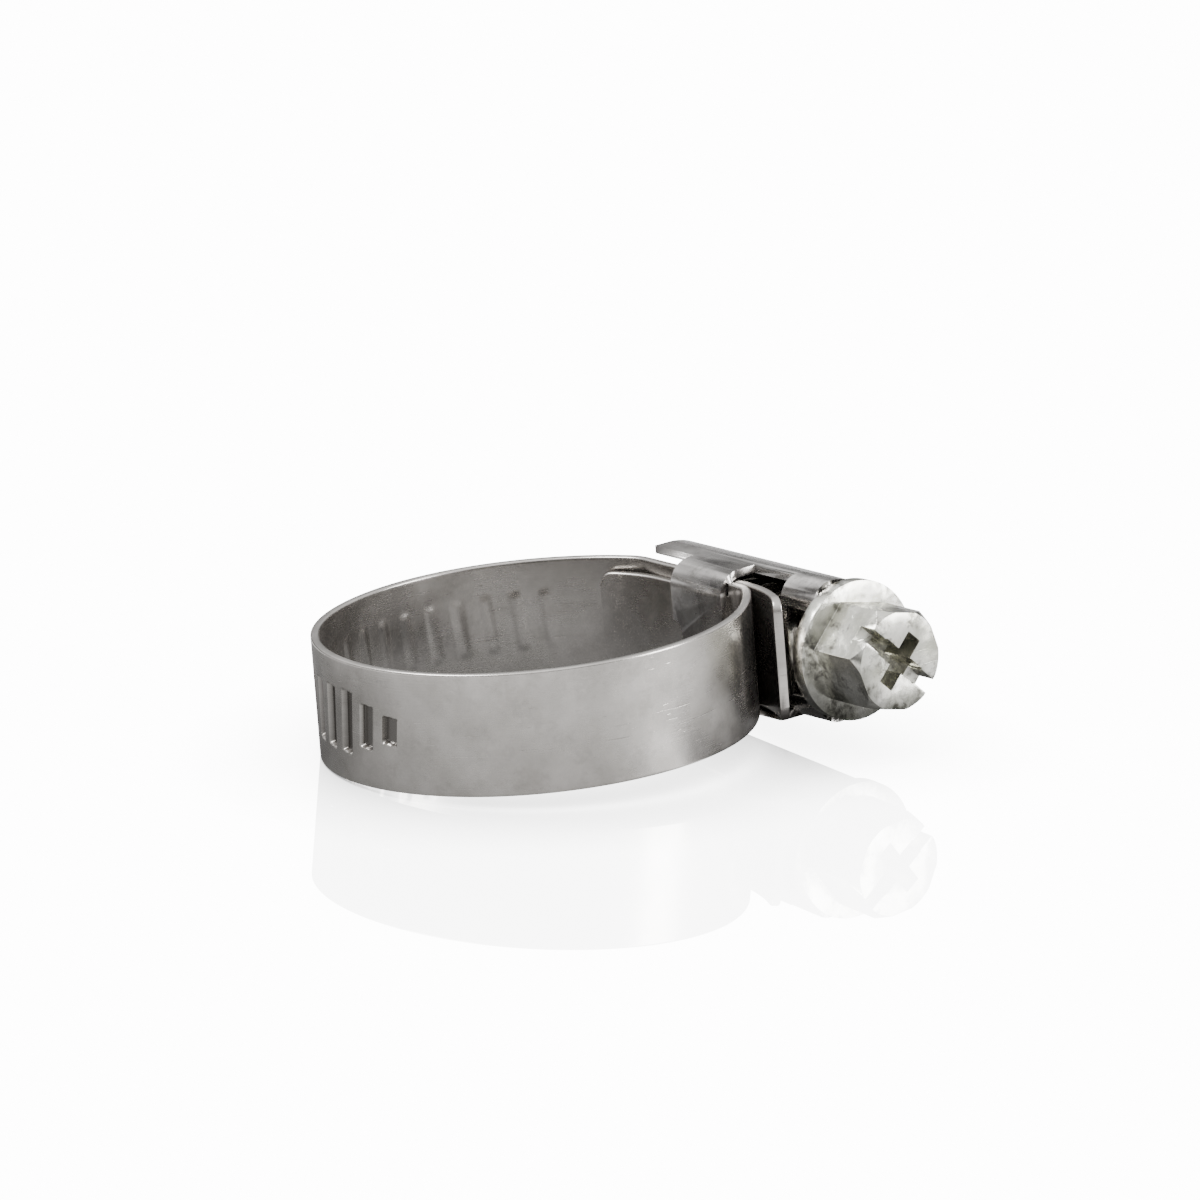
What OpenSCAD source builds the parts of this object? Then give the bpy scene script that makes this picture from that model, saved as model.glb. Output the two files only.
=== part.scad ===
// Worm-drive hose clamp: a steel band that runs through a pressed housing,
// and a worm screw whose thread bites into pockets embossed in the band.
// +Z is the axis of the hose, +X points from the hose to the housing, and
// the screw lies along Y with its head towards -Y.  Places along the screw
// are given as t, measured from the hose's centre towards the head.

/* [Hose and band] */
// Diameter of the hose that fits the open clamp
seat_d = 28.5; // [26:0.5:32]
// Width of the band
band_w = 9; // [8:0.5:12]
// Thickness of the band
band_t = 0.65; // [0.5:0.05:0.8]
// Half of the angle over which the band lies on the hose, opposite the housing
far_half = 58; // [52:1:64]
// How much wider the sides of the open band bend than the hose
side_ease = 2.025; // [1.5:0.025:2.5]
// Bend radius where the band turns into the housing
corner_r = 3; // [2.5:0.1:3.5]

/* [Pockets and thread] */
// Pitch of the thread and of the pockets in the band
pitch = 2.25; // [1.8:0.05:2.4]
// Outer radius of the thread
thread_r = 3.3; // [3.1:0.1:3.8]
// Radius of the screw's core under the thread
core_r = 2.5; // [2.2:0.1:2.7]
// How deep the thread reaches into a pocket
bite = 0.3; // [0.2:0.05:0.35]
// Depth of a pocket
pocket_depth = 0.4; // [0.4:0.02:0.45]
// Width of a pocket along the band
pocket_w = 1.35; // [1.2:0.05:1.5]
// Length of a pocket across the band
pocket_len = 4.7; // [4:0.1:5.5]

/* [Screw head] */
// Width of the hexagon across its flats
head_af = 7; // [6:0.5:8]
// Height of the hexagon
head_h = 4.75; // [4:0.25:6]
// Radius of the flange under the hexagon
flange_r = 5.1; // [4.6:0.1:5.4]
// Thickness of the flange
flange_t = 1.05; // [0.8:0.05:1.4]
// Radius of the neck between flange and thread
neck_r = 2.3; // [2:0.1:2.5]
// Width of the slot in the head
slot_w = 1.1; // [0.9:0.1:1.3]
// Depth of the slot in the head
slot_depth = 1.5; // [1:0.1:2]
// Depth of the cross recess in the head
recess_depth = 2.9; // [2:0.1:3.2]

/* [Housing] */
// Thickness of the housing's sheet
sheet_t = 0.6; // [0.5:0.05:0.8]
// Length of the saddle that lies between hose and band
saddle_len = 5.7; // [5:0.1:6]
// Length of the barrel behind the saddle's rear edge
barrel_back = 4.6; // [4:0.1:5]
// Length of the collar round the neck
collar_len = 3.6; // [3:0.1:4]
// Gap between band edge and side wall
side_gap = 0.15; // [0.1:0.05:0.3]

/* [Hidden] */
$fn = 96;

// Clearances
slip = 0.05;          // between sheets that slide on each other
joint_gap = 0.05;     // round the rounded end of a band link
thread_gap = 0.15;    // between thread and barrel
neck_gap = 0.05;      // between neck and the plate that carries it
flange_gap = 0.1;     // between collar and flange
eps = 0.01;
lap = 0.05;           // how far one arc of the band runs over the next

// The stack from the hose outwards, as distances from the hose's axis
seat_r = seat_d / 2;
head_x = seat_r + sheet_t + band_t / 2;      // middle of the fixed end
tail_x = head_x + band_t + slip;             // middle of the sliding end
screw_x = tail_x + band_t / 2 - bite + thread_r;

// Places along the screw
pocket_t = -3.9;                             // the rearmost pocket under the thread
saddle_rear = -0.4;
saddle_front = saddle_rear + saddle_len;
tongue_hinge = saddle_rear - 0.2;
barrel_rear = saddle_rear - barrel_back;
tip_bend = 11;                               // bend radius of the tip
tip_lead = 0.138;                            // the tip bends this far before the fixed end does
tip_room = 1.3;                              // between the tip's end and the flange
hinge_share = 0.4;                           // place of the tip's hinge between two pockets
tongue_flat = 2;                             // straight start of the tongue
tongue_bend = 8.5;
tongue_turn = 36;
thread_turns = 5.4;
thread_front = pocket_t + thread_turns * pitch;
collar_rear = thread_front + 1.35;
collar_front = collar_rear + collar_len;
flange_back = collar_front + flange_gap;
flange_front = flange_back + flange_t;
head_front = flange_front + head_h;
head_turn = 47;       // of the hexagon's corners, from +X towards +Z
slot_turn = 44;       // of the slot, from +X towards -Z
chamfer = 0.8;        // along the screw, at the hexagon's end
runout = 0.6;         // core past the last turn of the thread
notch_r = 1;          // in the saddle's rear edge

// Widths across the band
wall_in = band_w / 2 + side_gap;
wall_out = wall_in + sheet_t;
narrow_w = band_w - 1.8;                     // the fixed end inside the housing
corner_in = 1.2;                             // inside radius of the housing's corners
corner_out = corner_in + sheet_t;
barrel_x = screw_x + thread_r + thread_gap - wall_in;
lean = atan(pitch / (2 * PI * (thread_r - bite / 2)));

// The band's middle line round the hose: arcs of centre x, y, radius and the
// turn u at which each starts and ends, from u = 0 at the fixed end in the
// housing, through u = 180 opposite it, to u = 360 at the sliding end.
far_r = seat_r + band_t / 2;
side_r = far_r + side_ease;
side_cx = side_ease * cos(far_half);
side_cy = side_ease * sin(far_half);
corner_reach = side_r - corner_r;
u_front = acos((head_x - corner_r - side_cx) / corner_reach);
u_rear = acos((tail_x - corner_r - side_cx) / corner_reach);
ARCS = [
    [side_cx + corner_reach * cos(u_front), side_cy - corner_reach * sin(u_front),
     corner_r, 0, u_front],
    [side_cx, side_cy, side_r, u_front, 180 - far_half],
    [0, 0, far_r, 180 - far_half, 180 + far_half],
    [side_cx, -side_cy, side_r, 180 + far_half, 360 - u_rear],
    [side_cx + corner_reach * cos(u_rear), -side_cy + corner_reach * sin(u_rear),
     corner_r, 360 - u_rear, 360]
];
flat_front = -ARCS[0][1];                    // where the fixed end starts to bend
flat_rear = -ARCS[4][1];                     // where the sliding end starts to bend
pockets_to_tip = (flat_front - tip_lead - pocket_t) / pitch;
tip_hinge = pocket_t + pitch * (ceil(pockets_to_tip - hinge_share - eps) + hinge_share);
tip_reach = flange_back - tip_room - tip_hinge;     // from the tip's hinge to its end

function arc_at(u) = [for (a = ARCS) if (u >= a[3] - eps && u <= a[4] + eps) a][0];
function mid(u) = let (a = arc_at(u)) [a[0] + a[2] * cos(u), a[1] - a[2] * sin(u), 0];

// Turn at a distance s along the band from the rear bend's start
function degrees(s, r) = s / r * 180 / PI;
corner_s = corner_r * u_rear * PI / 180;
side_s = corner_s + side_r * (180 - far_half - u_rear) * PI / 180;
function turn(s) = s < corner_s ? 360 - degrees(s, corner_r)
    : s < side_s ? 360 - u_rear - degrees(s - corner_s, side_r)
    : 180 + far_half - degrees(s - side_s, far_r);

// Pockets behind the housing are counted from the rear bend, and the band is
// jointed between two of them
first_pocket = flat_rear - pocket_t + pitch;
pocket_count = 21;
function pocket_turn(i) = turn(first_pocket + i * pitch);
link_after = [3, 11, 17];                    // pockets before each joint at the rear
function joint_turn(i) = turn(first_pocket + (link_after[i] - 0.5) * pitch);
JOINTS = [0, 62, 122, joint_turn(2), joint_turn(1), joint_turn(0), 360];

// A cylinder along the screw, from t0 to t1
module rod(x, t0, t1, r) {
    translate([x, -t0, 0]) rotate([90, 0, 0]) cylinder(h = t1 - t0, r = r);
}

// A flat shape drawn in X and Z, drawn out along the screw from t0 to t1
module prism(t0, t1) {
    translate([0, -t0, 0]) rotate([90, 0, 0]) linear_extrude(t1 - t0) children();
}

// A block between two values of x and of t
module block(x0, x1, t0, t1, z0, z1) {
    translate([x0, -t1, z0]) cube([x1 - x0, t1 - t0, z1 - z0]);
}

// The housing's outline: straight walls from x0 to x1 with rounded corners at
// x0, closed by a half circle round x1
module dee(x0, x1, half, corner) {
    translate([x0 + corner, -half]) square([x1 - x0 - corner, 2 * half]);
    translate([x0, corner - half]) square([corner, 2 * (half - corner)]);
    for (side = [-1, 1]) translate([x0 + corner, side * (half - corner)]) circle(corner);
    translate([x1, 0]) intersection() {
        circle(half);
        translate([-eps, -half]) square([half + eps, 2 * half]);
    }
}

module dee_sheet(x0) {
    difference() {
        dee(x0, barrel_x, wall_out, corner_out);
        dee(x0 + sheet_t, barrel_x, wall_in, corner_in);
    }
}

// The strip of band between two turns.  The two side arcs, which are every
// second arc, are a hair smaller, and the other arcs lap over their ends
module strip(u0, u1, w) {
    for (k = [0 : len(ARCS) - 1]) {
        a = ARCS[k];
        side = k % 2;
        reach = side ? 0 : degrees(lap, a[2]);
        from = max(u0, a[3] - reach);
        to = min(u1, a[4] + reach);
        half_t = band_t / 2 - side * eps;
        half_w = w / 2 - side * eps;
        if (min(u1, a[4]) > max(u0, a[3]) + eps)
            translate([a[0], a[1], 0]) rotate([0, 0, -to]) rotate_extrude(angle = to - from)
                translate([a[2] - half_t, -half_w]) square([2 * half_t, 2 * half_w]);
    }
}

// A cutter for one pocket in the outer face of the band, standing on its
// middle line with the outward direction along X
module pocket(length) {
    rotate([-lean, 0, 0]) translate([band_t / 2 - pocket_depth, -pocket_w / 2, -length / 2])
        cube([pocket_depth + 1, pocket_w, length]);
}

function pocket_length(i) = i == pocket_count - 1 ? pocket_len * 0.45
    : i == pocket_count - 2 ? pocket_len * 0.7 : pocket_len;

// The rounded end of one piece of band, a hair smaller than the band so that
// none of its faces lie on the band's, and the hollow for it in the next
module knuckle(place, w) {
    translate(place) translate([0, 0, 2 * eps - w / 2])
        cylinder(h = w - 4 * eps, r = band_t / 2 - 2 * eps);
}
module hollow(place) {
    translate(place) translate([0, 0, -band_w]) cylinder(h = 2 * band_w, r = band_t / 2 + joint_gap);
}

// Link i of the band, from joint i - 1 to joint i.  The links of the front
// half end in a knuckle, and those of the rear half start with one.
module link(i) {
    u0 = JOINTS[i - 1];
    u1 = JOINTS[i];
    rear_half = i > 3;
    difference() {
        union() {
            strip(u0, u1, band_w);
            if (!rear_half) knuckle(mid(u1), band_w);
            if (rear_half && i > 4) knuckle(mid(u0), band_w);
        }
        hollow(rear_half ? mid(u1) : mid(u0));
        if (i == 4) hollow(mid(u0));
        for (k = [0 : pocket_count - 1]) {
            u = pocket_turn(k);
            if (u > u0 && u < u1)
                translate(mid(u)) rotate([0, 0, -u]) pocket(pocket_length(k));
        }
    }
}

module housing() {
    rear_x = tail_x + band_t / 2 + 0.5;      // walls behind the saddle stop clear of the band
    collar_x = tail_x + band_t / 2 + 0.1;
    window_x = collar_x + 1.3;
    ear = 3.3;                               // the collar is open below this half height
    color("silver") {
        difference() {
            prism(barrel_rear, collar_rear) dee_sheet(seat_r);
            // rear: only the walls and the barrel run on behind the saddle
            block(0, rear_x, barrel_rear - 1, saddle_rear, -band_w, band_w);
            // front: the window in which both ends of the band come out
            block(0, head_x, saddle_front, collar_rear + 1, -band_w, band_w);
            block(0, window_x, saddle_front, collar_rear + 1, 0, band_w);
            block(0, tail_x, saddle_front, collar_rear + 1, eps - wall_in, 0);
            // the saddle follows the hose
            translate([0, 0, -band_w]) cylinder(h = 2 * band_w, r = seat_r);
            // half-round notch in the saddle's rear edge
            translate([0, -saddle_rear, 0]) rotate([0, 90, 0]) cylinder(h = head_x, r = notch_r);
        }
        difference() {
            prism(collar_rear, collar_front) dee_sheet(collar_x);
            block(0, collar_x + corner_out, collar_rear - 1, collar_front + 1, -ear, ear);
        }
        // plate that carries the neck
        difference() {
            prism(collar_rear, collar_rear + sheet_t) dee(collar_x, barrel_x, wall_out, corner_out);
            rod(screw_x, collar_rear - 1, collar_front, neck_r + neck_gap);
        }
    }
}

// The thread: a helix of four-cornered sections, each given by its distance
// from the screw's axis and its offset along it
module thread() {
    crest = 0.5;
    root = 1.1;
    steps = 24;
    section = [[core_r - 0.15, -root / 2], [thread_r, -crest / 2], [thread_r, crest / 2],
               [core_r - 0.15, root / 2]];
    rings = floor(thread_turns * steps);
    points = [for (i = [0 : rings]) let (a = 180 + i * 360 / steps) for (p = section)
        [screw_x + p[0] * cos(a), -(pocket_t + i * pitch / steps + p[1]), p[0] * sin(a)]];
    sides = [for (i = [0 : rings - 1], k = [0 : 3]) let (m = (k + 1) % 4)
        each [[4 * i + k, 4 * i + m, 4 * i + 4 + m], [4 * i + k, 4 * i + 4 + m, 4 * i + 4 + k]]];
    polyhedron(points, concat([[3, 2, 1, 0]], sides,
        [[for (k = [0 : 3]) 4 * rings + k]]));
}

module worm_screw() {
    tip_back = pocket_t - 0.9;
    across = head_af / cos(30);
    color("gainsboro") {
        rod(screw_x, tip_back, thread_front + runout, core_r);
        rod(screw_x, thread_front + runout - eps, flange_back + eps, neck_r);
        thread();
        rod(screw_x, flange_back, flange_front, flange_r);
        difference() {
            intersection() {
                translate([screw_x, -flange_front + eps, 0]) rotate([0, -head_turn, 0])
                    rotate([90, 0, 0]) cylinder(h = head_h + eps, d = across, $fn = 6);
                // the end of the hexagon is chamfered
                translate([screw_x, -flange_front + eps, 0]) rotate([90, 0, 0])
                    rotate_extrude() polygon([[0, 0], [across, 0], [across / 2, head_h - chamfer],
                        [head_af / 2 + 0.1, head_h + eps], [0, head_h + eps]]);
            }
            translate([screw_x, -head_front, 0]) rotate([0, slot_turn, 0]) {
                translate([-across, 0, -slot_w / 2]) cube([2 * across, slot_depth, slot_w]);
                for (turn = [0, 90]) rotate([0, turn, 0])
                    translate([-head_af * 0.3, -eps, -slot_w * 0.6])
                        cube([head_af * 0.6, recess_depth, slot_w * 1.2]);
            }
        }
    }
}

// The end of the band that stays in the housing, on the saddle
module band_head() {
    shoulder = saddle_front + 0.2;
    place = [head_x, -tongue_hinge, 0];
    color("lightgray") {
        difference() {
            union() {
                block(head_x - band_t / 2, head_x + band_t / 2, tongue_hinge, flat_front,
                    -narrow_w / 2, narrow_w / 2);
                block(head_x - band_t / 2, head_x + band_t / 2, shoulder, flat_front,
                    -band_w / 2, band_w / 2);
                knuckle([head_x, -flat_front, 0], band_w);
            }
            hollow(place);
        }
    }
}

// The tongue of the fixed end, which lies under the band behind the housing
module band_tongue() {
    start = tongue_hinge - tongue_flat;
    color("lightgray") {
        block(head_x - band_t / 2, head_x + band_t / 2, start, tongue_hinge,
            -narrow_w / 2, narrow_w / 2);
        knuckle([head_x, -tongue_hinge, 0], narrow_w);
        translate([head_x - tongue_bend, -start, 0]) rotate_extrude(angle = tongue_turn)
            translate([tongue_bend - band_t / 2, -narrow_w / 2]) square([band_t, narrow_w]);
    }
}

// The straight part of the sliding end, under the thread
module band_tail() {
    color("lightgray") difference() {
        union() {
            block(tail_x - band_t / 2, tail_x + band_t / 2, flat_rear, tip_hinge,
                -band_w / 2, band_w / 2);
            knuckle([tail_x, -flat_rear, 0], band_w);
            knuckle([tail_x, -tip_hinge, 0], band_w);
        }
        for (t = [pocket_t : pitch : tip_hinge])
            translate([tail_x, -t, 0]) pocket(pocket_len);
    }
}

// The free end of the band, which bends in under the screw's head
module band_tip() {
    bend = asin(tip_reach / tip_bend);
    first = pocket_t + ceil((tip_hinge - pocket_t) / pitch) * pitch;
    color("lightgray") difference() {
        translate([tail_x - tip_bend, -tip_hinge, 0]) rotate([0, 0, -bend])
            rotate_extrude(angle = bend)
                translate([tip_bend - band_t / 2, -band_w / 2]) square([band_t, band_w]);
        hollow([tail_x, -tip_hinge, 0]);
        for (t = [first : pitch : tip_hinge + tip_reach - pitch / 2]) {
            u = (t - tip_hinge) / tip_bend * 180 / PI;
            translate([tail_x - tip_bend, -tip_hinge, 0]) rotate([0, 0, -u])
                translate([tip_bend, 0, 0]) pocket(pocket_len);
        }
    }
}

module band_link_1() { color("lightgray") link(1); }
module band_link_2() { color("lightgray") link(2); }
module band_link_3() { color("lightgray") link(3); }
module band_link_4() { color("lightgray") link(4); }
module band_link_5() { color("lightgray") link(5); }
module band_link_6() { color("lightgray") link(6); }

housing();
worm_screw();
band_head();
band_tongue();
band_link_1();
band_link_2();
band_link_3();
band_link_4();
band_link_5();
band_link_6();
band_tail();
band_tip();
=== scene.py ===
import bpy
import numpy as np
from mathutils import Matrix, Vector


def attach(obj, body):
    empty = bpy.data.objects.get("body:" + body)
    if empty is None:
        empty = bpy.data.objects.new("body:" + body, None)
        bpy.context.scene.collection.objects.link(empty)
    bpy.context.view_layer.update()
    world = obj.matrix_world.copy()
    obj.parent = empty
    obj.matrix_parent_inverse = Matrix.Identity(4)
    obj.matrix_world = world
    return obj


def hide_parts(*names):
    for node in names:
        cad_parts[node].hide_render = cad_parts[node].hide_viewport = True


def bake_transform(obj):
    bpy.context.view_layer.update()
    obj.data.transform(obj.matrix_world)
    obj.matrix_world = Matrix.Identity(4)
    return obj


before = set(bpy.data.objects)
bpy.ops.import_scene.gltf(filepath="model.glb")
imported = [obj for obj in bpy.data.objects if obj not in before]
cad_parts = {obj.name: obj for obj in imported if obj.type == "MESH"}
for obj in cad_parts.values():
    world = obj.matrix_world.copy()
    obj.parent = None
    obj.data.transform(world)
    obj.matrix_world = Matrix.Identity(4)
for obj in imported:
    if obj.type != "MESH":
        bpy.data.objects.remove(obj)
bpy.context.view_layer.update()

MM = 0.001

# Sizes of the clamp, in millimetres, the same as the CAD's
SEAT_R, BAND_W, BAND_T, SHEET_T, SLIP = 14.25, 9.0, 0.65, 0.6, 0.05
FAR_HALF, SIDE_EASE, CORNER_R = 58.0, 2.025, 3.0
PITCH, POCKET_DEPTH, POCKET_W, POCKET_LEN = 2.25, 0.4, 1.35, 4.7
THREAD_R, BITE = 3.3, 0.3
POCKET_T, TIP_HINGE, TIP_REACH, TIP_BEND = -3.9, 6.0, 6.0, 11.0
POCKET_COUNT = 21
PROUD = 0.01                      # the looks stay this far inside the CAD's faces
HEAD_X = SEAT_R + SHEET_T + BAND_T / 2
TAIL_X = HEAD_X + BAND_T + SLIP
LEAN = np.degrees(np.arctan(PITCH / (2 * np.pi * (THREAD_R - BITE / 2))))

# The band's middle line: arcs of centre x, y, radius, first and last turn
FAR_R = SEAT_R + BAND_T / 2
SIDE_R = FAR_R + SIDE_EASE
SIDE_CX = SIDE_EASE * np.cos(np.radians(FAR_HALF))
SIDE_CY = SIDE_EASE * np.sin(np.radians(FAR_HALF))
REACH = SIDE_R - CORNER_R
U_FRONT = np.degrees(np.arccos((HEAD_X - CORNER_R - SIDE_CX) / REACH))
U_REAR = np.degrees(np.arccos((TAIL_X - CORNER_R - SIDE_CX) / REACH))
ARCS = np.array([
    [SIDE_CX + REACH * np.cos(np.radians(U_FRONT)),
     SIDE_CY - REACH * np.sin(np.radians(U_FRONT)), CORNER_R, 0, U_FRONT],
    [SIDE_CX, SIDE_CY, SIDE_R, U_FRONT, 180 - FAR_HALF],
    [0, 0, FAR_R, 180 - FAR_HALF, 180 + FAR_HALF],
    [SIDE_CX, -SIDE_CY, SIDE_R, 180 + FAR_HALF, 360 - U_REAR],
    [SIDE_CX + REACH * np.cos(np.radians(U_REAR)),
     -SIDE_CY + REACH * np.sin(np.radians(U_REAR)), CORNER_R, 360 - U_REAR, 360]])
FLAT_FRONT, FLAT_REAR = -ARCS[0, 1], -ARCS[4, 1]
ARC_LENGTHS = np.radians(ARCS[:, 4] - ARCS[:, 3]) * ARCS[:, 2]
ARC_STARTS = np.concatenate([[0], np.cumsum(ARC_LENGTHS)])
RING = ARC_STARTS[-1]


def middle(s):
    """Point and outward direction on the band's middle line at distance s.

    On each arc the turn grows evenly, u = u0 + s / r, and the point is the
    arc's centre plus r times (cos u, -sin u).  Before 0 and past the ring's
    length the line runs on straight, along Y.
    """
    s = np.asarray(s, float)
    inside = np.clip(s, 0, RING)
    k = np.clip(np.searchsorted(ARC_STARTS, inside, side="right") - 1, 0, 4)
    u = np.radians(ARCS[k, 3]) + (inside - ARC_STARTS[k]) / ARCS[k, 2]
    out = np.stack([np.cos(u), -np.sin(u)], -1)
    point = ARCS[k, :2] + ARCS[k, 2:3] * out
    point[..., 1] -= s - inside
    return point, out


def distance(u):
    """Distance along the ring at turn u."""
    k = int(np.clip(np.searchsorted(ARCS[:, 3], u, side="right") - 1, 0, 4))
    return ARC_STARTS[k] + np.radians(u - ARCS[k, 3]) * ARCS[k, 2]


def mesh_piece(name, points, faces):
    """An object from points in millimetres and a list of faces."""
    mesh = bpy.data.meshes.new(name)
    mesh.from_pydata((np.asarray(points) * MM).tolist(), [], faces)
    mesh.validate()
    mesh.polygons.foreach_set("use_smooth", np.ones(len(mesh.polygons), bool))
    piece = bpy.data.objects.new(name, mesh)
    bpy.context.scene.collection.objects.link(piece)
    return piece


def grid_faces(rows, cols):
    """Quads of a grid whose columns run round a closed section."""
    i, j = np.meshgrid(np.arange(rows - 1), np.arange(cols), indexing="ij")
    far = (j + 1) % cols
    quads = np.stack([i * cols + j, i * cols + far,
                      (i + 1) * cols + far, (i + 1) * cols + j], -1)
    return quads.reshape(-1, 4).tolist()


def smooth_step(x):
    """0 up to 0, 1 from 1 on, and 3 x^2 - 2 x^3 between."""
    x = np.clip(x, 0, 1)
    return x * x * (3 - 2 * x)


# ---------------------------------------------------------------- the band
# Turns of the hinges round the ring, and their distances along it
JOINT_TURNS = [0, 62, 122, 198.84454, 250.21700, 312.34496, 360]
JOINT_S = np.array([distance(u) for u in JOINT_TURNS])
JOINT_S[-1] = RING
TIP_S = RING + TIP_HINGE - FLAT_REAR
TIP_LENGTH = TIP_BEND * np.arcsin(TIP_REACH / TIP_BEND)
# The tongue's hinge, its flat start, then its curl; its shoulder and narrow width
TONGUE_T, TONGUE_FLAT, TONGUE_BEND, TONGUE_TURN = -0.6, 2.0, 8.5, np.radians(36)
TONGUE_S = TONGUE_T - FLAT_FRONT
CURL_S = TONGUE_S - TONGUE_FLAT
TONGUE_END = CURL_S - TONGUE_BEND * TONGUE_TURN
SHOULDER_S = 5.5 - FLAT_FRONT
NARROW_W = BAND_W - 1.8
# The pockets' middles, from the tip back; the last two are shorter
FIRST_POCKET = FLAT_REAR - POCKET_T + PITCH
POCKETS = RING - FIRST_POCKET - PITCH * np.arange(-8, POCKET_COUNT)
POCKETS = POCKETS[POCKETS < TIP_S + TIP_LENGTH - PITCH / 2]
POCKET_LENGTHS = np.full(len(POCKETS), POCKET_LEN)
POCKET_LENGTHS[-1] *= 0.45
POCKET_LENGTHS[-2] *= 0.7
POCKET_EDGE, BUMP_EDGE, BUMP = 0.17, 0.62, 0.06      # slopes of the sides, bump inside
SEAM = 0.004                      # half the gap where the ring's two halves meet


def path(s):
    """Point and outward direction along the whole strip, ends included.

    The ring and its straight ends come from middle(); past the tip's hinge
    the line is a circle of radius TIP_BEND, and before the tongue's flat
    start one of radius TONGUE_BEND, both curving inwards.
    """
    point, out = middle(s)
    a = np.clip(s - TIP_S, 0, None) / TIP_BEND
    b = np.clip(CURL_S - s, 0, None) / TONGUE_BEND
    tip, tongue = (a > 0)[:, None], (b > 0)[:, None]
    tip_point = np.stack([TAIL_X - TIP_BEND * (1 - np.cos(a)),
                          -TIP_HINGE - TIP_BEND * np.sin(a)], -1)
    tongue_point = np.stack([HEAD_X - TONGUE_BEND * (1 - np.cos(b)),
                             -TONGUE_T + TONGUE_FLAT + TONGUE_BEND * np.sin(b)], -1)
    point = np.where(tip, tip_point, np.where(tongue, tongue_point, point))
    out = np.where(tip, np.stack([np.cos(a), -np.sin(a)], -1),
                   np.where(tongue, np.stack([np.cos(b), np.sin(b)], -1), out))
    return point, out


def emboss(s, z, edge):
    """How far each point lies in a pocket, from 0 outside to 1 on its floor.

    A pocket is a rectangle turned by the thread's lean; the depth rises as a
    smooth step over edge from each of its four sides.
    """
    lean = np.radians(LEAN)
    depth = np.zeros(np.broadcast(s, z).shape)
    for centre, length in zip(POCKETS, POCKET_LENGTHS):
        along = (s - centre) * np.cos(lean) + z * np.sin(lean)
        across = z * np.cos(lean) - (s - centre) * np.sin(lean)
        depth = np.maximum(depth, smooth_step((POCKET_W / 2 - np.abs(along)) / edge)
                           * smooth_step((length / 2 - np.abs(across)) / edge))
    return depth


def half_width(s):
    """Half the strip's width: narrow on the tongue, full from the shoulder on,
    and drawn in along a quarter circle at each free end."""
    w = np.where(s < SHOULDER_S, NARROW_W, BAND_W) / 2 - PROUD
    end_round = 0.9
    d = np.minimum(s - TONGUE_END, TIP_S + TIP_LENGTH - s)
    d = np.clip(d, 0, end_round)
    return w - end_round + np.sqrt(end_round ** 2 - (end_round - d) ** 2)


FINE, PLAIN, LEAN_FADE = 0.085, 0.35, 1.4      # spacing of rows, and how fast they lean
EDGE_R, FACE_COLS, BACK_COLS, EDGE_COLS = 0.14, 118, 60, 5


def section(half):
    """A rounded rectangle, outer face first, for each half width given.

    Returns z by row and column, and by column the offset through the
    thickness and the side: 1 on the outer face, -1 on the inner and 0 on the
    edges.  An edge is two quarter circles of EDGE_R with a flat between.
    """
    t = BAND_T / 2 - PROUD
    flat, back = np.linspace(1, -1, FACE_COLS), np.linspace(-1, 1, BACK_COLS)
    turn = np.linspace(0, np.pi / 2, EDGE_COLS + 1)[1:]
    rise, run = EDGE_R * (1 - np.cos(turn)), EDGE_R * np.sin(turn)
    inner = half[:, None] - EDGE_R
    z = np.concatenate([inner * flat, -inner - run, -inner - run[::-1], inner * back,
                        inner + run, inner + run[::-1]], 1)
    r = np.concatenate([np.full(FACE_COLS, t), t - rise, rise[::-1] - t,
                        np.full(BACK_COLS, -t), rise - t, t - rise[::-1]])
    edge = np.zeros(2 * EDGE_COLS)
    side = np.concatenate([np.ones(FACE_COLS), edge, -np.ones(BACK_COLS), edge])
    return z, r, side


def band_piece(name, s0, s1, step, square):
    """The strip from s0 to s1 as a closed grid: each row is section() set
    square to path(), its faces moved in or out by emboss().  Rows lean with
    the pockets, and stand square at the ends that square names."""
    s = np.linspace(s0, s1, int(np.ceil((s1 - s0) / step)) + 1)
    if s0 < SHOULDER_S < s1:
        s = np.sort(np.append(s, SHOULDER_S - 0.02))
    z, r, side = section(half_width(s))
    fade = np.full(len(s), float(step <= FINE))
    if "start" in square:
        fade *= smooth_step((s - s0) / LEAN_FADE)
    if "end" in square:
        fade *= smooth_step((s1 - s) / LEAN_FADE)
    at = s[:, None] - z * np.tan(np.radians(LEAN)) * fade[:, None]
    point, out = (v.reshape(*z.shape, 2) for v in path(at.ravel()))
    depth = emboss(at, z, POCKET_EDGE) * (side > 0)
    bump = BUMP * smooth_step((JOINT_S[5] - at) / PITCH)    # none where it runs over the tongue
    r = r - depth * POCKET_DEPTH - emboss(at, z, BUMP_EDGE) * (side < 0) * bump
    xy = point + out * r[..., None]
    points = np.concatenate([xy, z[..., None]], -1)
    rows, cols = z.shape
    faces = grid_faces(rows, cols)
    faces += [list(range(cols - 1, -1, -1)), list(range((rows - 1) * cols, rows * cols))]
    piece = mesh_piece(name, points.reshape(-1, 3), faces)
    mesh = piece.data
    flat_uv = np.stack([at.ravel(), z.ravel()], -1) * MM
    corner = np.zeros(len(mesh.loops), int)
    mesh.loops.foreach_get("vertex_index", corner)
    mesh.uv_layers.new(name="strip").data.foreach_set("uv", flat_uv[corner].ravel())
    mesh.attributes.new("pocket", "FLOAT", "POINT").data.foreach_set(
        "value", depth.ravel().astype(np.float32))
    outward(piece)
    mesh.set_sharp_from_angle(angle=np.radians(50))
    return piece


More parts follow.
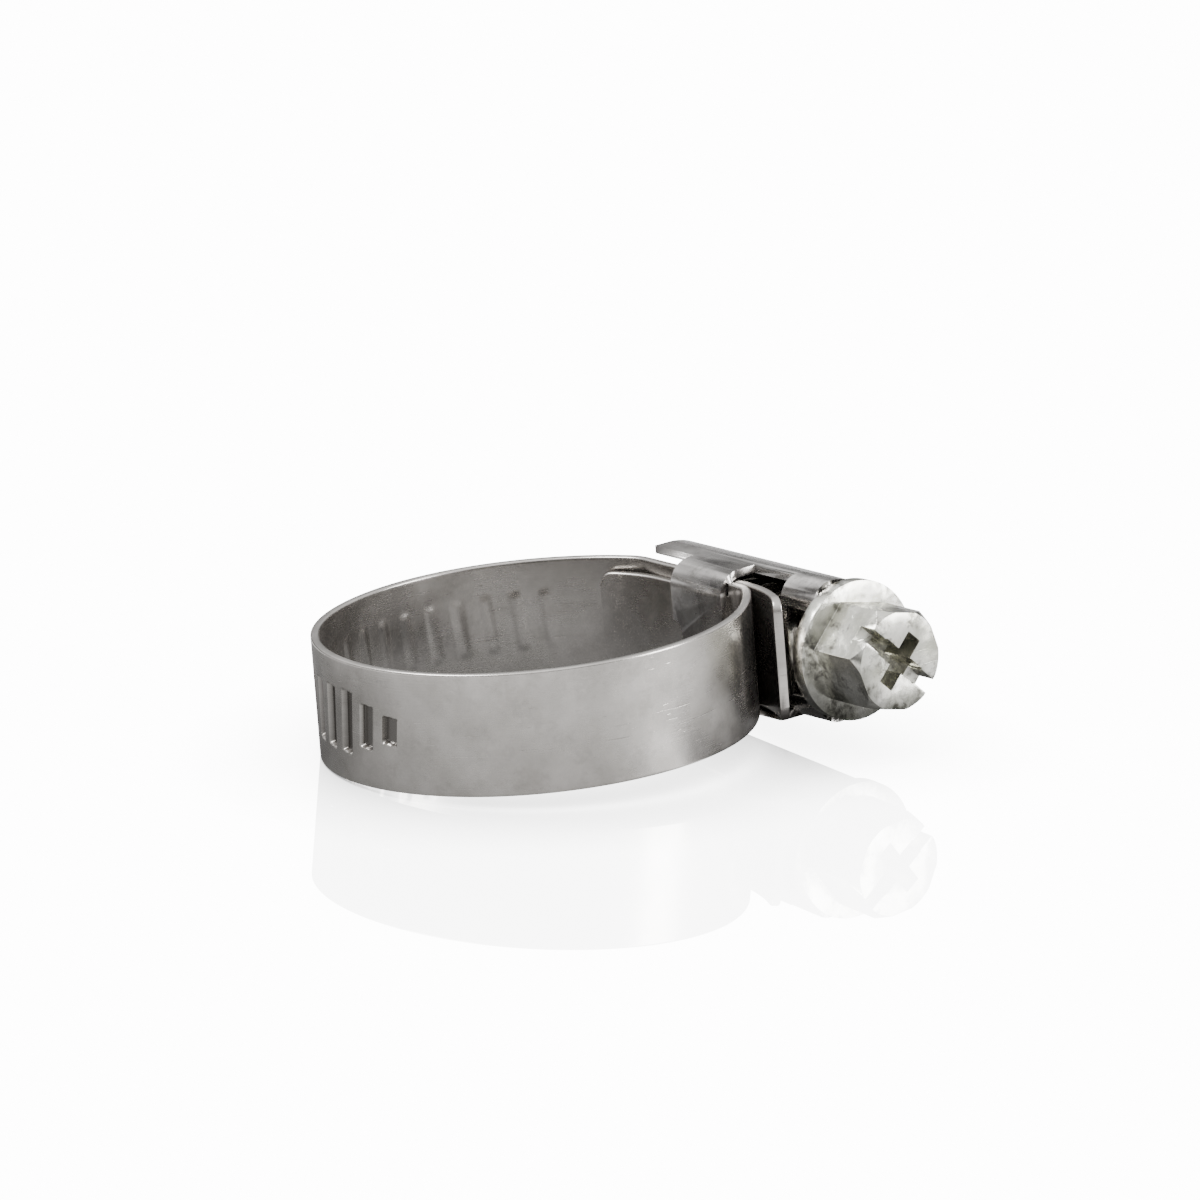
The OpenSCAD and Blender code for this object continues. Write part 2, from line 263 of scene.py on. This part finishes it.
def outward(piece):
    """Turns the faces of a closed mesh out if its signed volume is negative."""
    mesh = piece.data
    mesh.calc_loop_triangles()
    co = np.zeros(len(mesh.vertices) * 3)
    mesh.vertices.foreach_get("co", co)
    tri = np.zeros(len(mesh.loop_triangles) * 3, int)
    mesh.loop_triangles.foreach_get("vertices", tri)
    a, b, c = co.reshape(-1, 3)[tri.reshape(-1, 3)].transpose(1, 0, 2)
    if np.einsum("ij,ij->i", a, np.cross(b, c)).sum() < 0:
        mesh.flip_normals()


def bend_at(piece, s, reach=1.6):
    """Works out two points either side of the hinge at s, which are not used, and bakes the
    piece's transform into its mesh.
    """
    point, out = path(np.array([float(s)]))
    along = np.array([out[0, 1], -out[0, 0]]) * reach
    start, end = point[0] - along, point[0] + along
    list(start * MM)
    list(end * MM)
    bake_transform(piece)


MID = (JOINT_S[:-1] + JOINT_S[1:]) / 2
HEAD_MID, TAIL_MID = TONGUE_S / 2, RING + (TIP_S - RING) / 2
BAND = [
    ("strip_tongue", TONGUE_END, HEAD_MID, PLAIN, "tongue", "housing", TONGUE_S),
    ("strip_front_bend", HEAD_MID, MID[0], PLAIN / 2, "housing", "link_1", 0),
    ("strip_front", MID[0], MID[1], PLAIN, "link_1", "link_2", JOINT_S[1]),
    ("strip_far_front", MID[1], JOINT_S[3] - SEAM, FINE, "link_2", "link_3", JOINT_S[2]),
    ("strip_far_rear", JOINT_S[3] + SEAM, MID[4], FINE, "link_4", "link_5", JOINT_S[4]),
    ("strip_rear", MID[4], MID[5], FINE, "link_5", "link_6", JOINT_S[5]),
    ("strip_rear_bend", MID[5], TAIL_MID, FINE, "link_6", "tail", RING),
    ("strip_tip", TAIL_MID, TIP_S + TIP_LENGTH, FINE, "tail", "tip", TIP_S)]
SQUARE_ENDS = {"strip_far_front": ["start"], "strip_tip": ["end"]}
STANDS_FOR = {
    "strip_tongue": ["band_tongue"], "strip_front_bend": ["band_head", "band_link_1"],
    "strip_front": ["band_link_2"], "strip_far_front": ["band_link_3"],
    "strip_far_rear": ["band_link_4"], "strip_rear": ["band_link_5"],
    "strip_rear_bend": ["band_link_6", "band_tail"], "strip_tip": ["band_tip"]}
strips = []
for name, s0, s1, step, first, second, hinge in BAND:
    piece = band_piece(name, s0, s1, step, SQUARE_ENDS.get(name, ()))
    bend_at(piece, hinge)
    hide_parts(*STANDS_FOR[name])
    strips.append(piece)


# --------------------------------------------------- housing and worm screw
def softened(name, node, body, width):
    """A merged copy of a CAD node with its edges rounded by a bevel."""
    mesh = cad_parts[node].data.copy()
    mesh.materials.clear()
    piece = bpy.data.objects.new(name, mesh)
    bpy.context.scene.collection.objects.link(piece)
    weld = piece.modifiers.new("merge", "WELD")
    weld.merge_threshold = 0.000002
    bevel = piece.modifiers.new("round", "BEVEL")
    bevel.width = width * MM
    bevel.segments = 3
    bevel.limit_method = "ANGLE"
    bevel.angle_limit = np.radians(28)
    bevel.use_clamp_overlap = True
    bevel.harden_normals = True
    mesh.polygons.foreach_set("use_smooth", np.ones(len(mesh.polygons), bool))
    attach(piece, body)
    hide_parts(node)
    return piece


housing = softened("pressed_housing", "housing", "housing", 0.14)
screw = softened("screw_with_head", "worm_screw", "screw", 0.09)


# --------------------------------------------------------------- materials
class Value:
    """A shader socket that can be used in arithmetic."""

    def __init__(self, tree, socket):
        self.tree, self.socket = tree, socket

    def node(self, kind, inputs=(), output=0, **settings):
        """Adds a node: settings first, then the values or links of its inputs."""
        n = self.tree.nodes.new(kind)
        for key, value in settings.items():
            if key == "stops":
                for k, (at, shade) in enumerate(value):
                    e = n.color_ramp.elements
                    stop = e[k] if k < 2 else e.new(at)
                    stop.position, stop.color = at, (*shade, 1)
            else:
                setattr(n, key, value)
        for key, value in dict(inputs).items():
            if isinstance(value, Value):
                self.tree.links.new(value.socket, n.inputs[key])
            else:
                n.inputs[key].default_value = value
        return Value(self.tree, n.outputs[output])

    def _do(self, operation, a, b):
        return self.node("ShaderNodeMath", {0: a, 1: b}, operation=operation)

    def __add__(self, other): return self._do("ADD", self, other)
    def __radd__(self, other): return self._do("ADD", other, self)
    def __sub__(self, other): return self._do("SUBTRACT", self, other)
    def __rsub__(self, other): return self._do("SUBTRACT", other, self)
    def __mul__(self, other): return self._do("MULTIPLY", self, other)
    def __rmul__(self, other): return self._do("MULTIPLY", other, self)
    def __truediv__(self, other): return self._do("DIVIDE", self, other)
    def __rtruediv__(self, other): return self._do("DIVIDE", other, self)
    def __pow__(self, other): return self._do("POWER", self, other)
    def __abs__(self): return self._do("ABSOLUTE", self, 0)

    def between(self, low, high):
        """0 up to low, 1 from high on, and straight between."""
        return self.node("ShaderNodeMapRange", {0: self, 1: low, 2: high}, clamp=True)

    def tint(self, a, b):
        """The colour a where self is 0 and b where it is 1."""
        a, b = (c if isinstance(c, Value) else (*c, 1) for c in (a, b))
        return self.node("ShaderNodeMix", {0: self, 6: a, 7: b}, 2, data_type="RGBA")


SCRATCH_W = 0.035


def steel(name, light, dark, grain, coords, rough, scratch, grime, dents, tarnish):
    """Worn metal: drawn grain, scattered scratches, smudges, grime, dents and
    dark tarnish in patches.

    grain stretches the drawn lines, dents is the dents' fineness and depth,
    and scratch, grime and tarnish run from none at 0 to full at 1.  The
    fineness of a noise is in features per metre.
    """
    material = bpy.data.materials.new(name)
    material.use_nodes = True
    tree = material.node_tree
    shader = tree.nodes["Principled BSDF"]
    root = Value(tree, None)
    if coords == "strip":
        place = root.node("ShaderNodeUVMap", uv_map="strip")
    else:
        place = root.node("ShaderNodeTexCoord", output=3)

    def noise(scale, detail=4, stretch=(1, 1, 1), turn=0.0):
        where = root.node("ShaderNodeMapping", {0: place, 2: (0, 0, turn), 3: stretch})
        return root.node("ShaderNodeTexNoise", {"Vector": where, "Scale": scale,
                                                "Detail": detail, "Roughness": 0.6})

    lines = noise(9000, 5, grain)
    smudge = noise(330, 5)
    blotch = noise(120, 3)
    nicks = noise(2600, 2, (0.16, 1.6, 1), 0.5).between(0.69, 0.74)
    long_nicks = noise(1700, 2, (0.05, 1.9, 1), -0.16).between(0.70, 0.745)
    worn = (nicks + long_nicks) * scratch
    specks = noise(4200, 3).between(0.66, 0.74) * grime
    shade = smudge.between(0.35, 0.68).tint(dark, light)
    shade = (specks * 0.55).tint(shade, (0.16, 0.14, 0.12))
    stain = noise(430, 6).between(0.50, 0.60) * noise(2300, 3).between(0.34, 0.58)
    shade = (stain * tarnish).tint(shade, (0.085, 0.08, 0.068))
    if coords == "strip":
        # painted shade: on the strip the base colour darkens towards near black with each
        # pocket's depth
        pocket = root.node("ShaderNodeAttribute", output=2, attribute_name="pocket")
        shade = (pocket * 0.75).tint(shade, (0.07, 0.064, 0.06))
        width = root.node("ShaderNodeSeparateXYZ", {0: place}, 1) * 1000
        # one long scratch that wanders across the width, in millimetres, and breaks up
        aside = width + 0.4 + noise(45, 1) * 1.6
        line = 1 - abs(aside) / SCRATCH_W
        worn = worn + line.between(0, 1) * noise(260, 2, (1, 0.1, 1)).between(0.46, 0.58)
    roughness = rough + lines * 0.10 + blotch.between(0.4, 0.7) * 0.12 - worn * 0.08
    hollows = noise(dents[0], 2)
    bump = root.node("ShaderNodeBump", {
        "Strength": 0.22, "Distance": 0.00002,
        "Height": lines * 0.6 + smudge * 0.6 + hollows * dents[1] - worn * 1.4})
    tree.links.new(shade.socket, shader.inputs["Base Color"])
    tree.links.new(roughness.socket, shader.inputs["Roughness"])
    tree.links.new(bump.socket, shader.inputs["Normal"])
    shader.inputs["Metallic"].default_value = 1.0
    return material


band_steel = steel(
    "band_steel", light=(0.56, 0.535, 0.51), dark=(0.44, 0.42, 0.395), grain=(0.03, 1, 1),
    coords="strip", rough=0.17, scratch=0.7, grime=0.35, dents=(500, 0.5), tarnish=0.12)
housing_steel = steel(
    "housing_steel", light=(0.60, 0.58, 0.565), dark=(0.40, 0.385, 0.37), grain=(1, 0.05, 1),
    coords="object", rough=0.16, scratch=0.6, grime=0.5, dents=(420, 2.5), tarnish=0.35)
zinc = steel(
    "zinc_plate", light=(0.82, 0.81, 0.76), dark=(0.44, 0.44, 0.375), grain=(1, 1, 0.2),
    coords="object", rough=0.12, scratch=0.9, grime=0.8, dents=(420, 16.0), tarnish=0.85)
for piece in strips:
    piece.data.materials.append(band_steel)
housing.data.materials.append(housing_steel)
screw.data.materials.append(zinc)


# ------------------------------------------------- floor, light and camera
# How far the clamp is turned, the camera looks down and the floor leans
TURN, TILT, ROLL = np.radians(38.7), np.radians(15.15), np.radians(4.35)


def from_view(v):
    """Turns a direction by the housing's angle to the camera."""
    a, b, c = v
    return Vector((np.cos(TURN) * a + np.sin(TURN) * b,
                   -np.sin(TURN) * a + np.cos(TURN) * b, c))


RIGHT = from_view((np.cos(ROLL), 0, -np.sin(ROLL)))
UP = from_view((np.cos(TILT) * np.sin(ROLL), np.sin(TILT), np.cos(TILT) * np.cos(ROLL)))
FORWARD = from_view((-np.sin(TILT) * np.sin(ROLL), np.cos(TILT),
                     -np.sin(TILT) * np.cos(ROLL)))
FLOOR_UP = from_view((np.sin(ROLL), 0, np.cos(ROLL)))
AIM = Vector((1.15, 0, 0)) * MM + RIGHT * 4.603 * MM + UP * 5.311 * MM
FIELD, AWAY, SENSOR = 0.08578, 0.9, 36.0      # width seen at the clamp, distance, sensor


def lowest(pieces):
    """The least height of the pieces' points over the origin, along FLOOR_UP."""
    low = []
    for p in pieces:
        co = np.zeros(len(p.data.vertices) * 3)
        p.data.vertices.foreach_get("co", co)
        low.append((co.reshape(-1, 3) @ np.array(FLOOR_UP)).min())
    return min(low)


def facing(direction, up):
    """A rotation whose -Z looks along direction."""
    z = -direction.normalized()
    x = up.cross(z).normalized()
    return Matrix((x, z.cross(x), z)).transposed()


# Painted reflections: what the metal sees on the floor glows, for its reflections only, in
# these tones, which set its highlights and dark strips round the ring: degrees round from the
# camera, and brightness.
# Further out, between the two radii of FLOOR_REACH in metres, it goes to FLOOR_FAR.
FLOOR_TONES = [(-180, .5), (-125, .3), (-88, .3), (-52, .8), (-10, 1.05), (28, 1.0),
               (45, 1.3), (57, 2.7), (68, .45), (92, .12), (140, .8), (180, .5)]
FLOOR_REACH, FLOOR_FAR = (0.036, 0.052), 1.5
WHITE = 14.0                      # brightness of the visible floor and of the lamps
HALF_FLOOR = 1.5
FLOOR_GAP = 0.00002
MIRROR_SHARE = 0.42
floor_mesh = bpy.data.meshes.new("floor")
across = FLOOR_UP.orthogonal().normalized()
back = FLOOR_UP.cross(across)
base = FLOOR_UP * (lowest([*strips, housing, screw]) - FLOOR_GAP)
floor_mesh.from_pydata([base + across * (i * HALF_FLOOR) + back * (j * HALF_FLOOR)
                        for i, j in ((-1, -1), (1, -1), (1, 1), (-1, 1))], [], [(0, 1, 2, 3)])
floor = bpy.data.objects.new("floor", floor_mesh)
bpy.context.scene.collection.objects.link(floor)
white = bpy.data.materials.new("white_floor")
white.use_nodes = True
tree = white.node_tree
paper = Value(tree, None)
tree.nodes.remove(tree.nodes["Principled BSDF"])
where = paper.node("ShaderNodeTexCoord", output=3)
turned = paper.node("ShaderNodeMapping", {0: where, 2: (0, 0, np.radians(90) + TURN)})
sweep = paper.node("ShaderNodeTexGradient", {0: turned}, 1, gradient_type="RADIAL")
around = paper.node("ShaderNodeValToRGB", {0: sweep}, stops=[
    (at / 360 + 0.5, (v, v, v)) for at, v in FLOOR_TONES])
reach = paper.node("ShaderNodeVectorMath", {0: where}, 1, operation="LENGTH")
around = reach.between(*FLOOR_REACH).tint(around, (FLOOR_FAR,) * 3)
# painted shade: the floor's glow darkens by ambient occlusion under and inside the ring, for
# the metal and for the eye
painted_ring_shade = paper.node("ShaderNodeAmbientOcclusion", {"Distance": 0.03}, 1) ** 1.15
painted_contact_shadow = paper.node("ShaderNodeAmbientOcclusion", {"Distance": 0.012}, 1) ** 1.6
glow = paper.node("ShaderNodeEmission", {0: painted_ring_shade.tint((0, 0, 0), around), 1: 1.0})
bright = paper.node("ShaderNodeEmission", {0: painted_contact_shadow.tint((0, 0, 0), (1, 1, 1)), 1: WHITE})
mirror = paper.node("ShaderNodeBsdfAnisotropic", {0: (1, 1, 1, 1), 1: 0.0})
seen = paper.node("ShaderNodeMixShader", {0: MIRROR_SHARE, 1: bright, 2: mirror})
camera_ray = paper.node("ShaderNodeLightPath")
floor_look = paper.node("ShaderNodeMixShader", {0: camera_ray, 1: glow, 2: seen})
tree.links.new(floor_look.socket, tree.nodes["Material Output"].inputs[0])
floor_mesh.materials.append(white)

# The studio is dark round the walls and bright overhead; the floor mirrors only white
world = bpy.data.worlds.new("studio")
bpy.context.scene.world = world
world.use_nodes = True
sky = Value(world.node_tree, None)
height = sky.node("ShaderNodeVectorMath", {0: sky.node("ShaderNodeTexCoord"),
                                           1: tuple(FLOOR_UP)}, 1, operation="DOT_PRODUCT")
shade = sky.node("ShaderNodeValToRGB", {0: height}, stops=[
    (0.0, (0.12, 0.12, 0.12)), (0.18, (0.20, 0.20, 0.20)), (0.40, (1.1, 1.1, 1.1)),
    (1.0, (1.9, 1.9, 1.9))])
mirrored = sky.node("ShaderNodeLightPath", output=4)
shade = mirrored.tint(shade, (WHITE,) * 3)
world.node_tree.links.new(shade.socket, world.node_tree.nodes["Background"].inputs[0])


def lamp(name, right, up, toward, size):
    """An area light placed by the camera's directions, aimed at the clamp.

    Its brightness is WHITE, which takes a power of four times that per area.
    """
    data = bpy.data.lights.new(name, "AREA")
    data.shape, data.size, data.size_y = "RECTANGLE", *size
    data.energy = 4 * size[0] * size[1] * WHITE
    light = bpy.data.objects.new(name, data)
    bpy.context.scene.collection.objects.link(light)
    place = RIGHT * right + UP * up - FORWARD * toward
    light.matrix_world = Matrix.Translation(place) @ facing(-place, FLOOR_UP).to_4x4()


lamp("key", -0.25, 0.40, 0.15, (0.30, 0.20))
lamp("side", 0.42, 0.10, 0.16, (0.16, 0.30))

camera_data = bpy.data.cameras.new("camera")
camera_data.sensor_width = SENSOR
camera_data.lens = SENSOR * AWAY / FIELD
camera_data.clip_start, camera_data.clip_end = 0.01, 10
camera = bpy.data.objects.new("camera", camera_data)
bpy.context.scene.collection.objects.link(camera)
camera.matrix_world = Matrix.Translation(AIM - FORWARD * AWAY) @ Matrix(
    (RIGHT, UP, -FORWARD)).transposed().to_4x4()
bpy.context.scene.camera = camera
